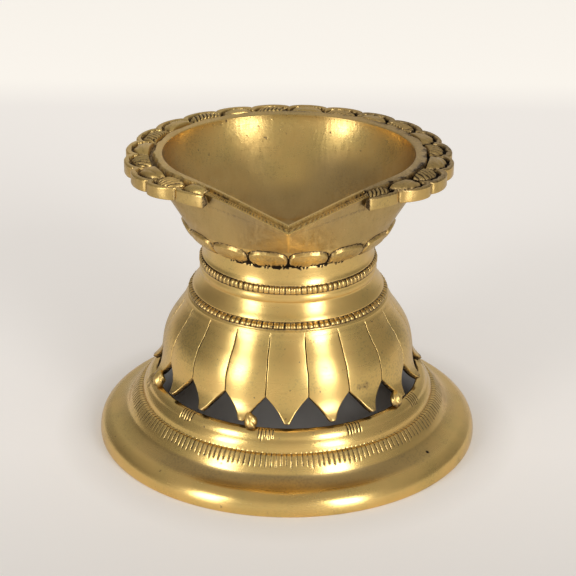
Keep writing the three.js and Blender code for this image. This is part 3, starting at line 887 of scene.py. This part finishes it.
def teardrop(angles, reach_out, half_width, back_reach, sag):
    """Radius of an oval whose spout sides run from the tip to the join and bow inwards by the sag."""
    turn = np.minimum(np.abs(turned(angles)), SPOUT_JOIN)
    join = oval(SPOUT_JOIN, half_width, back_reach)
    spread = reach_out * np.sin(turn) + join * np.sin(SPOUT_JOIN - turn)
    straight = reach_out * join * math.sin(SPOUT_JOIN) / spread
    share = turn / SPOUT_JOIN
    side = straight - sag * 4 * share * (1 - share)
    return np.where(share < 1, side, oval(angles, half_width, back_reach))


def body_outline(angles):
    return teardrop(angles, SPOUT_REACH, BOWL_RADIUS, BOWL_BACK_REACH, SPOUT_SAG)


def lip_outline(angles):
    return teardrop(angles, LIP_SPOUT_REACH, LIP_RADIUS, LIP_BACK_REACH, LIP_SPOUT_SAG)


def even_rim(angles, forward=True):
    """Angles on an even rim for those on the real one, whose left end lies further back, or the reverse."""
    real = [-HALF_TURN, -LEFT_BLEND, -LEFT_END, 0, HALF_TURN]
    even = [-HALF_TURN, -LEFT_BLEND, -SPOUT_END, 0, HALF_TURN]
    start, end = (real, even) if forward else (even, real)
    return np.interp(turned(angles), start, end)


def on_spout(angles):
    return np.abs(even_rim(angles)) < SPOUT_END - 1e-6


def scallop_across(angles):
    """-1 to 1 over each scallop, less at the spout's two ends, and the scallop's number."""
    turns = (even_rim(angles) % FULL_TURN - SPOUT_END) / SCALLOP_PITCH
    number = np.clip(np.floor(turns + 1e-9), 0, SCALLOP_COUNT - 1)
    share = turns - number
    across = 2 * share - 1
    across = np.where(number == 0, mix(-END_ACROSS, 1, share), across)
    across = np.where(number == SCALLOP_COUNT - 1, mix(-1, END_ACROSS, share), across)
    return np.clip(across, -1, 1), number.astype(int)


def scallop_crest(angles):
    rise = ease((np.abs(turned(angles)) - SPOUT_END) / CREST_RISE)
    front = body_outline(np.array([SPOUT_END]))[0] + SCALLOP_STEP
    return mix(front, oval(angles, SCALLOP_WIDTH, CREST_BACK_REACH), rise)


def end_turn(angles, radius):
    """Turn of the rim's first and last scallops towards the spout, which squares their ends to the front."""
    beyond = np.abs(even_rim(angles)) - SPOUT_END
    stepped = np.clip((radius - body_outline(angles)) / SCALLOP_STEP, 0, 1)
    fade = ease(1 - beyond / END_TURN_REACH) * ~on_spout(angles)
    return -np.sign(turned(angles)) * END_TURN * stepped * fade


def rim_radius(angles):
    across, _ = scallop_across(angles)
    scalloped = scallop_crest(angles) - SCALLOP_DEPTH * (1 - np.sqrt(1 - across**2))
    return np.where(on_spout(angles), body_outline(angles), scalloped)


def lip_band(angles, share):
    """1 on the flat band along the lip, whose outer edge wavers and lies further in at the left."""
    left = ease((-np.sin(angles) - 0.2) / 0.8)
    uneven = 0.02 * np.sin(angles * 23 + 1.7 * np.sin(angles * 7)) + 0.009 * np.sin(angles * 61 + 0.8)
    band_end = LIP_BAND_SHARE - LIP_BAND_LEFT_TRIM * left + uneven
    return ease((band_end - share) / 0.03 + 0.5)


def boss_field(angles, radius, across, number, out):
    """0 at the middle of a boss's inner end and 1 on its rounded edge, which is a little uneven."""
    side = np.abs(across + SCALLOP_LEANS[number] * (1 - out)) / BOSS_HALF_WIDTH
    field = (side**BOSS_POWER + out**BOSS_POWER) ** (1 / BOSS_POWER)
    return field + 0.035 * np.sin(angles * 73 + radius * 2600) + SCALLOP_SPREADS[number]


def boss_marks(from_lip, radius, across, number, out, field):
    """The slanted ribs on every second boss, and the short seam on each of the others."""
    slant = (across * SCALLOP_PITCH / 2 * radius + from_lip * RIB_SLANT) / RIB_PITCH
    ribbed = np.where(number % 2 == 0, 1.0, 0.0)
    rib = groove(slant - np.round(slant), 0.36) * ribbed * ease((1 - field) / 0.18)
    seam = 0.35 * groove(out - 0.55 + 0.25 * across, 0.09) * (1 - ribbed) * ease((1 - field) / 0.2)
    return rib, seam


def scallop_patina(angles, share, lip_part, border, boss, marks):
    """Darkness of the scalloped flange: black round the bosses and brown towards the right."""
    right = ease((np.sin(angles) + 0.5) / 1.3)
    dark = (1 - np.maximum(border, lip_part)) * ease(1.3 - 2.1 * boss) * (0.52 + 0.38 * right)
    blotch = ease(np.sin(angles * 29 + 2.2 * np.sin(angles * 11 + 1)) * 1.4)
    outer = ease((share - 0.1) / 0.16)
    wash = (0.03 + (0.12 + 0.3 * blotch) * outer * (0.25 + 0.75 * right)) * lip_part
    wash = wash + (0.02 + 0.15 * right) * border + 0.01 + 0.1 * right
    # The dark step at the spout's ends is tarnish in the corner and painted shade.
    step = groove(np.abs(even_rim(angles)) - SPOUT_END, STEP_LINE_ANGLE)
    return np.maximum(np.maximum(dark, marks), wash + 0.4 * step)


def scallop_relief(angles, radius):
    """Height over the border's level and darkness on top of the scalloped flange."""
    across, number = scallop_across(angles)
    lip = lip_outline(angles)
    share = (radius - lip) / (scallop_crest(angles) - lip)
    past_groove = share - LIP_GROOVE_SHARE
    out = np.maximum(past_groove, 0) / (BOSS_SHARE - LIP_GROOVE_SHARE)
    crescent = (CRESCENT_SHARE - BOSS_SHARE) / (BOSS_SHARE - LIP_GROOVE_SHARE)
    field = boss_field(angles, radius, across, number, out)
    lip_part = lip_band(angles, share)
    border = ease((field - 1 - crescent) / 0.06 + 0.5) * ease(past_groove / 0.1)
    boss = np.maximum(0, 1 - field**3.0) ** 0.5 * ease(past_groove / 0.06 + 0.3)
    rib, seam = boss_marks(radius - lip, radius, across, number, out, field)
    rib = rib * ease(past_groove / 0.05)
    sunk = 1 - np.maximum(border, lip_part)
    height = -GROOVE_DEPTH * sunk
    height = height + (GROOVE_DEPTH + BOSS_RISE * SCALLOP_RISES[number]) * boss * sunk
    height = height - RIB_DEPTH * rib - 0.4 * RIB_DEPTH * seam
    height = height + (LIP_HEIGHT - BORDER_HEIGHT) * lip_part
    return height, scallop_patina(angles, share, lip_part, border, boss, 0.72 * rib + 0.4 * seam)


def spout_relief(angles, share):
    """Height over the border's level and darkness on top of the spout's edges."""
    turn = np.abs(even_rim(angles)) / SPOUT_END
    dent = groove(share - 0.36, 0.09)
    count = np.where(turned(angles) < 0, *SPOUT_TICKS) * (0.85 * turn + 0.15 * turn**2)
    slanted = count + share * 0.9
    row = between(share, *TICK_ROW_SHARES, 0.05)
    tick = groove(slanted - np.round(slanted), 0.42) * row
    near_end = 0.45 + 0.55 * ease((turn - 0.4) / 0.5)
    height = (LIP_HEIGHT - BORDER_HEIGHT) * ease((0.4 - share) / 0.12)
    height = height - SPOUT_DENT_DEPTH * dent * near_end - SPOUT_TICK_DEPTH * (row - tick)
    patches = waver(angles, 83, 2, 31)
    dark = np.maximum((0.22 + 0.4 * patches) * dent * near_end, 0.36 * row * ease(1.15 - 1.6 * tick))
    return height, np.maximum(dark, 0.03 + 0.04 * ease((share - 0.3) / 0.2))


def rim_top_ring(loft, angles, share):
    lip = lip_outline(angles)
    radius = mix(lip, rim_radius(angles), share)
    scallop_height, scallop_dark = scallop_relief(angles, radius)
    spout_height, spout_dark = spout_relief(angles, share)
    spout = on_spout(angles)
    rounding = RIM_ROUNDING * ease((share - 0.965) / 0.035) + LIP_ROUNDING * ease((0.03 - share) / 0.03)
    height = BORDER_HEIGHT + np.where(spout, spout_height, scallop_height) - rounding
    dark = np.where(spout, spout_dark, scallop_dark)
    dull_shade = np.where(spout, 0.0, RIM_DULLNESS + RIGHT_RIM_DULLNESS * np.sin(angles))
    loft.ring(angles, radius, height, dark, dull_shade, end_turn(angles, radius))


def rim_columns(per_scallop, per_side):
    side = np.linspace(0, 1, per_side, endpoint=False) ** 1.5 * SPOUT_END
    last = np.array([SPOUT_END * 0.999])
    scallops = SPOUT_END + np.arange(per_scallop * SCALLOP_COUNT + 1) * SCALLOP_PITCH / per_scallop
    columns = np.concatenate([side, last, scallops, FULL_TURN - last, FULL_TURN - side[:0:-1]])
    return even_rim(columns, forward=False) % FULL_TURN


def foot_relief(angles, height):
    """Outward push and darkness of the petals round the bowl's foot."""
    turns = angles / (FULL_TURN / FOOT_PETAL_COUNT) - 0.5
    across = 2 * np.abs(turns - np.round(turns))
    ragged = 0.5 + 0.5 * np.sin(angles * 61 + 2.1 * np.sin(angles * 17)) * np.cos(angles * 37 + 0.6)
    teeth = waver(angles, 97, 3, 41, 2)
    front = in_front(angles, *FOOT_SEAM_SHADE_FRONT)
    top = mix(FOOT_PETAL_SIDE_HEIGHT, FOOT_PETAL_TOP_HEIGHT, dome(across, 2.6))
    top = top + FOOT_PETAL_RAGGEDNESS * (ragged - 0.5)
    below = top - height
    petal = ease(below / FOOT_PETAL_SLOPE) * dome(across, 5)
    edge = groove(below - FOOT_EDGE_DROP, LINE_HALF_WIDTH)
    line = groove(below + LINE_LIFT, LINE_HALF_WIDTH)
    gap_width = 0.07 + 0.08 * ragged + 0.16 * ease(1 - np.abs(below) / GAP_FLARE)
    gap_width = gap_width + 0.1 * ease((BOWL_SEAT + GAP_LOW_RISE - height) / GAP_FLARE)
    gap = groove(1 - across, gap_width) * ease(below / GAP_SLOPE + 0.6)
    seam_top = BOWL_SEAT + FOOT_SEAM_RISE + FOOT_SEAM_TEETH * teeth * front
    seam = ease((seam_top - height) / FOOT_SEAM_SOFTNESS)
    stain = ease((BOWL_SEAT + FOOT_STAIN_RISE - height) / FOOT_STAIN_SOFTNESS)
    push = FOOT_PETAL_RISE * petal - GAP_DEPTH * gap - LINE_DEPTH * line - FOOT_SEAM_DEPTH * seam
    push = push + FOOT_EDGE_RISE * edge
    # The seam is a dark joint, made darker at the front as painted shade.
    dark = 0.9 * gap + (0.4 + 0.35 * ragged) * line + (0.55 + 0.45 * front) * seam + 0.1
    dark = dark - 0.1 * edge + 0.25 * teeth * stain
    plain = ease((BOWL_SEAT + FOOT_PLAIN - height) / FOOT_PLAIN)
    return push * (1 - plain), np.clip(dark, 0, 1)


def add_socket(loft):
    """The bore for the stud, and the flat seat round it."""
    angles = even_angles(64)
    loft.ring(angles, BORE_RADIUS, SOCKET_TOP, 0.5)
    loft.ring(angles, BORE_RADIUS, BOWL_SEAT, 0.5)
    for share in (0.3, 0.6, 0.9):
        loft.ring(angles, mix(BORE_RADIUS, SEAT_RADIUS, share), BOWL_SEAT, 0.3)


def add_foot(loft):
    angles = even_angles(FOOT_PETAL_COUNT * 40)
    points = stretched(FOOT_SHARES, (SEAT_RADIUS, BOWL_SEAT), (BOWL_FOOT_RADIUS, BODY_BOTTOM))
    rows = trace(points, FOOT_STEP)
    for (radius, height), normal in zip(rows, outward(rows)):
        push, dark = foot_relief(angles, height)
        loft.ring(angles, radius + normal[0] * push, height + normal[1] * push, dark, FOOT_DULLNESS)


def body_share(height):
    return (height - BODY_BOTTOM) / (LIP_HEIGHT - BODY_BOTTOM)


def add_outside(loft, angles):
    """The wall up to the flange, and then the flange's edge: scallops, and the spout's wall between them."""
    spout = on_spout(angles)
    # The keel is left clean: wear along its edge and a painted highlight.
    keel = groove(turned(angles), KEEL_HALF_WIDTH)
    front_left = groove(turned(angles) + FRONT_LEFT_ANGLE, FRONT_LEFT_SPREAD)
    wall_dull_shade = (OUTSIDE_DULLNESS + FRONT_LEFT_DULLNESS * front_left) * (1 - keel)
    for share in WALL_SHARES:
        height = mix(BODY_BOTTOM, FLANGE_BOTTOM, share)
        out_share = body_share(height)
        radius = mix(BOWL_FOOT_RADIUS, body_outline(angles), out_share) - KEEL_ROUNDING * keel * out_share
        loft.ring(angles, radius, height, 0.2 * (share > 0.96), wall_dull_shade)
    notch = 0.5 * groove(1 - np.abs(scallop_across(angles)[0]), 0.06) * ~spout
    # The dark step at the spout's ends is tarnish in the corner and painted shade.
    dark = np.maximum(notch, 0.6 * groove(np.abs(even_rim(angles)) - SPOUT_END, STEP_LINE_ANGLE / 2))
    dull_shade = np.where(spout, wall_dull_shade, RIM_DULLNESS)
    for share, inset in FLANGE_INSETS:
        height = mix(FLANGE_BOTTOM, BORDER_HEIGHT, share)
        wall = mix(BOWL_FOOT_RADIUS, body_outline(angles), body_share(height)) - KEEL_ROUNDING * keel
        radius = np.where(spout, wall, rim_radius(angles) - inset)
        loft.ring(angles, radius, height + FLANGE_SPOUT_LIFT * spout, dark, dull_shade, end_turn(angles, radius))


def add_inside(loft, angles):
    """The hollow, from the lip down to near the middle of the floor."""
    lip_oval = oval(angles, LIP_RADIUS, LIP_BACK_REACH)
    # The sides, front and lower part are darkened as painted shade, and the back is kept clean as a painted
    # highlight.
    side_shade = 0.12 * at_sides(angles, 0.4)
    wall_dull_shade = mix(INSIDE_SIDE_DULL_SHADE, INSIDE_BACK_DULL_SHADE, ease(-1.15 * np.cos(angles)))
    lower_side_shade = mix(LOWER_LEFT_DULL_SHADE, LOWER_RIGHT_DULL_SHADE, ease(np.sin(angles) + 0.5))
    lower_dull_shade = lower_side_shade * ease(2.2 * np.abs(np.sin(angles)) + 0.4 * (np.cos(angles) > 0))
    for depth in INSIDE_SHARES:
        round_part = lip_oval * (1 - depth**1.7) ** 0.5
        spout_part = (lip_outline(angles) - lip_oval) * (1 - depth) ** 1.2
        dull_shade = mix(wall_dull_shade, lower_dull_shade, ease((depth - 0.35) / 0.3))
        dull_shade = mix(dull_shade, INSIDE_FLOOR_DULL_SHADE, ease((depth - 0.72) / 0.2))
        height = mix(LIP_HEIGHT, BOWL_FLOOR, depth)
        loft.ring(angles, round_part + spout_part, height, side_shade * (1 - depth), dull_shade)


def make_bowl():
    fine = rim_columns(56, 240)
    plain = rim_columns(20, 40)
    loft = Loft()
    add_socket(loft)
    add_foot(loft)
    add_outside(loft, plain)
    for share in RIM_TOP_SHARES:
        rim_top_ring(loft, fine, share)
    add_inside(loft, plain)
    loft.pole(BOWL_FLOOR)
    loft.pole(SOCKET_TOP, at_start=True)
    return loft.piece("spouted_bowl", BOWL_BRASS)


# Stud under the bowl


THREAD_PITCH = 0.001
THREAD_DEPTH = 0.0003
STUD_END_RADIUS = STUD_RADIUS * 0.8


def make_stud():
    angles = even_angles(48)
    loft = Loft()
    loft.ring(angles, STUD_END_RADIUS, STUD_BOTTOM, 0.2)
    for height in np.arange(STUD_BOTTOM + THREAD_PITCH, STUD_TOP - THREAD_PITCH, THREAD_PITCH / 5):
        wave = np.abs(((height / THREAD_PITCH + angles / FULL_TURN) % 1) - 0.5) * 2
        loft.ring(angles, STUD_RADIUS - THREAD_DEPTH * wave, height, 0.4 * wave)
    loft.ring(angles, STUD_END_RADIUS, STUD_TOP, 0.2)
    loft.pole(STUD_TOP)
    loft.pole(STUD_BOTTOM, at_start=True)
    return loft.piece("threaded_stud", STUD_BRASS)


# Brazing


TACK_START_TILT = math.radians(-40)
TACK_END_TILT = math.radians(84)
TACK_HEIGHT = 0.0041
TACK_MIDDLE = TACK_HEIGHT * 0.36
TACK_RISE = TACK_HEIGHT * 0.64
TACK_TOP_RISE = TACK_HEIGHT * 0.645
TACK_SWELL = 0.0018
TACK_LEAN = 0.0009


def make_tack(node, seed):
    """A rounded lump of braze on the ring where its CAD node stands, leaning on the petal's edge."""
    low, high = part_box(node)
    centre = (low + high) / 2
    phases = np.random.default_rng(seed).uniform(0, FULL_TURN, 4)
    angles = even_angles(40)
    middle = low.z + TACK_MIDDLE
    loft = Loft()
    for tilt in np.linspace(TACK_START_TILT, TACK_END_TILT, 18):
        rise = math.sin(tilt)
        wave = 1 + 0.1 * np.sin(2 * angles + phases[0] + 2 * rise)
        wave = wave + 0.08 * np.sin(3 * angles + phases[1] + 4 * rise)
        wave = wave + 0.05 * np.sin(6 * angles + phases[2] + 7 * rise)
        height = middle + TACK_RISE * rise * (1 + 0.05 * np.sin(3 * angles + phases[3]))
        loft.ring(angles, TACK_SWELL * math.cos(tilt) * wave, height, 0.45 * ease(-2 * rise) + 0.08)
    loft.pole(middle + TACK_TOP_RISE)
    loft.pole(middle + TACK_RISE * math.sin(TACK_START_TILT), at_start=True)
    lump = loft.piece(node.replace("braze_tack", "braze_lump"), BRAZE_BRASS)
    around = math.atan2(centre.x, -centre.y)
    to_tip = np.round(around / PETAL_PITCH) * PETAL_PITCH - around
    lean = TACK_LEAN * math.copysign(1, to_tip)
    for vertex in lump.data.vertices:
        share = max(0.0, (vertex.co.z - low.z) / TACK_HEIGHT) ** 1.5
        vertex.co.x += lean * share * math.cos(around) - TACK_LEAN * share * math.sin(around)
        vertex.co.y += lean * share * math.sin(around) + TACK_LEAN * share * math.cos(around)
    lump.data.transform(Matrix.Translation((centre.x, centre.y, 0)))
    return lump


place(make_base_ring(), "stand", "ring_brass", "base_ring")
place(make_lotus_dome(), "stand", "stand_brass", "lotus_dome")
place(make_bowl(), "bowl", "bowl_brass", "bowl")
place(make_stud(), "bowl", "stud_brass", "bowl_stud")
tacks = sorted(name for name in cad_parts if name.startswith("braze_tack"))
for seed, tack in enumerate(tacks):
    place(make_tack(tack, seed), "stand", "braze", tack)


# Floor, light and camera


CAMERA_ELEVATION = math.radians(24.21)
CAMERA_DISTANCE = 0.6288
CAMERA_LOOK_HEIGHT = 0.04796
CAMERA_LENS = 125
CAMERA_SENSOR = 36
CAMERA_ROLL = math.radians(0.45)
CAMERA_NEAR = 0.01
CAMERA_FAR = 20
PAPER_EDGE = 0.33
PAPER_EDGE_SOFTNESS = 0.02
PAPER_EDGE_RANGE = (PAPER_EDGE - PAPER_EDGE_SOFTNESS, PAPER_EDGE + PAPER_EDGE_SOFTNESS)
FLOOR_SIZE = 6.0
NEAR_FLOOR = (0.80, 0.77, 0.74, 1)
FAR_FLOOR = (0.90, 0.87, 0.82, 1)
# The floor's glow: how far from the lamp it starts and is full, which leaves a painted shadow round the
# foot, its strength for the camera from the front to the paper's edge, the share of that in front of the
# lamp and behind it, less in front as painted shade, and its strength for the brass.
GLOW_SHADOW_RANGE = (0.045, 0.075)
GLOW_SEEN = (-0.25, PAPER_EDGE, 0.23, 0.49)
GLOW_NEARNESS = (-0.12, -0.02, 0.5, 1.0)
GLOW_MIRRORED = 0.16

# The studio as polished brass mirrors it: brightness by direction round the lamp, 0 towards the camera
# and growing to its right, and by height over the horizon.
STUDIO_ROUND = [
    (-180, 0.55), (-150, 0.36), (-120, 0.19), (-90, 0.25), (-65, 0.50), (-20, 0.62), (15, 0.66),
    (60, 0.45), (90, 0.29), (120, 0.28), (150, 0.45), (180, 0.55),
]
STUDIO_OVERHEAD = (0.42, 0.42, 0.42, 1)
OVERHEAD_RANGE = (0.35, 0.8)
STUDIO_TINT = (1.0, 0.96, 0.90, 1)
BACKDROP = (0.94, 0.88, 0.80, 1)

SOFTBOX_ELEVATION = math.radians(15)
SOFTBOX_DISTANCE = 1.5
SOFTBOX_WIDTH = 0.42
SOFTBOX_HEIGHT = 1.25


def make_floor():
    """Pale paper. A glow that only the camera and the brass see lifts it, fading in round the lamp's foot as
    a painted shadow.
    """
    material = bpy.data.materials.new("floor_paper")
    nodes = Nodes(material)
    place = nodes.place()
    back = nodes.split(place)[1]
    paper = nodes.mix(nodes.spread(back, *PAPER_EDGE_RANGE), NEAR_FLOOR, FAR_FLOOR)
    seen = nodes.math("MULTIPLY", nodes.spread(back, *GLOW_SEEN), nodes.spread(back, *GLOW_NEARNESS))
    seen = nodes.math("MULTIPLY", nodes.add("ShaderNodeLightPath", "Is Camera Ray"), seen)
    glow = nodes.plus(seen, nodes.add("ShaderNodeLightPath", "Is Glossy Ray"), GLOW_MIRRORED)
    # The glow fades in away from the lamp's foot, which paints a soft shadow round it.
    away = nodes.spread(nodes.vector("LENGTH", place), *GLOW_SHADOW_RANGE)
    nodes.fill(nodes.tree.nodes["Principled BSDF"], {
        "Base Color": paper,
        "Roughness": 0.8,
        "Specular IOR Level": 0.2,
        "Emission Color": paper,
        "Emission Strength": nodes.math("MULTIPLY", away, glow),
    })
    mesh = bpy.data.meshes.new("floor")
    half = FLOOR_SIZE / 2
    corners = [(-half, -half, 0), (half, -half, 0), (half, half, 0), (-half, half, 0)]
    mesh.from_pydata(corners, [], [(0, 1, 2, 3)])
    mesh.materials.append(material)
    add_object("floor", mesh)


def place_at(azimuth, elevation, distance):
    """A place at a distance from the lamp's foot. Azimuth 0 is the camera's, and it grows to its right."""
    out = distance * math.cos(elevation)
    return Vector((out * math.sin(azimuth), -out * math.cos(azimuth), distance * math.sin(elevation)))


def add_softbox(name, azimuth, power):
    """A tall soft light that faces the lamp."""
    light = bpy.data.lights.new(name, "AREA")
    light.shape = "RECTANGLE"
    light.size = SOFTBOX_WIDTH
    light.size_y = SOFTBOX_HEIGHT
    light.energy = power
    lamp = add_object(name, light)
    lamp.location = place_at(math.radians(azimuth), SOFTBOX_ELEVATION, SOFTBOX_DISTANCE)
    to_lamp = lamp.location - (cad_box[0] + cad_box[1]) / 2
    lamp.rotation_mode = "QUATERNION"
    lamp.rotation_quaternion = to_lamp.to_track_quat("Z", "Y")


def make_world():
    """A pale studio with dim sides, which the camera itself sees as an even backdrop."""
    world = bpy.data.worlds.new("studio")
    bpy.context.scene.world = world
    nodes = Nodes(world)
    right, back, up = nodes.split(nodes.add("ShaderNodeTexCoord", "Generated"))
    turn = nodes.math("ARCTAN2", right, nodes.math("MULTIPLY", back, -1.0))
    level = nodes.add("ShaderNodeValToRGB", 0, {0: nodes.spread(turn, -HALF_TURN, HALF_TURN)})
    elements = level.node.color_ramp.elements
    while len(elements) < len(STUDIO_ROUND):
        elements.new(0.5)
    for element, (azimuth, brightness) in zip(elements, STUDIO_ROUND):
        element.position = (azimuth + 180) / 360
        element.color = (brightness, brightness, brightness, 1)
    level = nodes.mix(nodes.spread(up, *OVERHEAD_RANGE), level, STUDIO_OVERHEAD)
    tinted = nodes.mix(1.0, level, STUDIO_TINT, blend="MULTIPLY")
    seen = nodes.mix(nodes.add("ShaderNodeLightPath", "Is Camera Ray"), tinted, BACKDROP)
    nodes.fill(nodes.tree.nodes["Background"], {"Color": seen})


def make_camera():
    data = bpy.data.cameras.new("camera")
    data.lens = CAMERA_LENS
    data.sensor_width = CAMERA_SENSOR
    data.clip_start = CAMERA_NEAR
    data.clip_end = CAMERA_FAR
    camera = add_object("camera", data)
    bpy.context.scene.camera = camera
    camera.location = place_at(0, CAMERA_ELEVATION, CAMERA_DISTANCE) + Vector((0, 0, CAMERA_LOOK_HEIGHT))
    camera.rotation_euler = (math.pi / 2 - CAMERA_ELEVATION, 0, 0)
    camera.rotation_euler.rotate_axis("Z", CAMERA_ROLL)


make_floor()
make_world()
make_camera()
add_softbox("softbox_left", -46, 10.0)
add_softbox("softbox_right", 35, 13.0)
bpy.context.scene.view_settings.view_transform = "Standard"
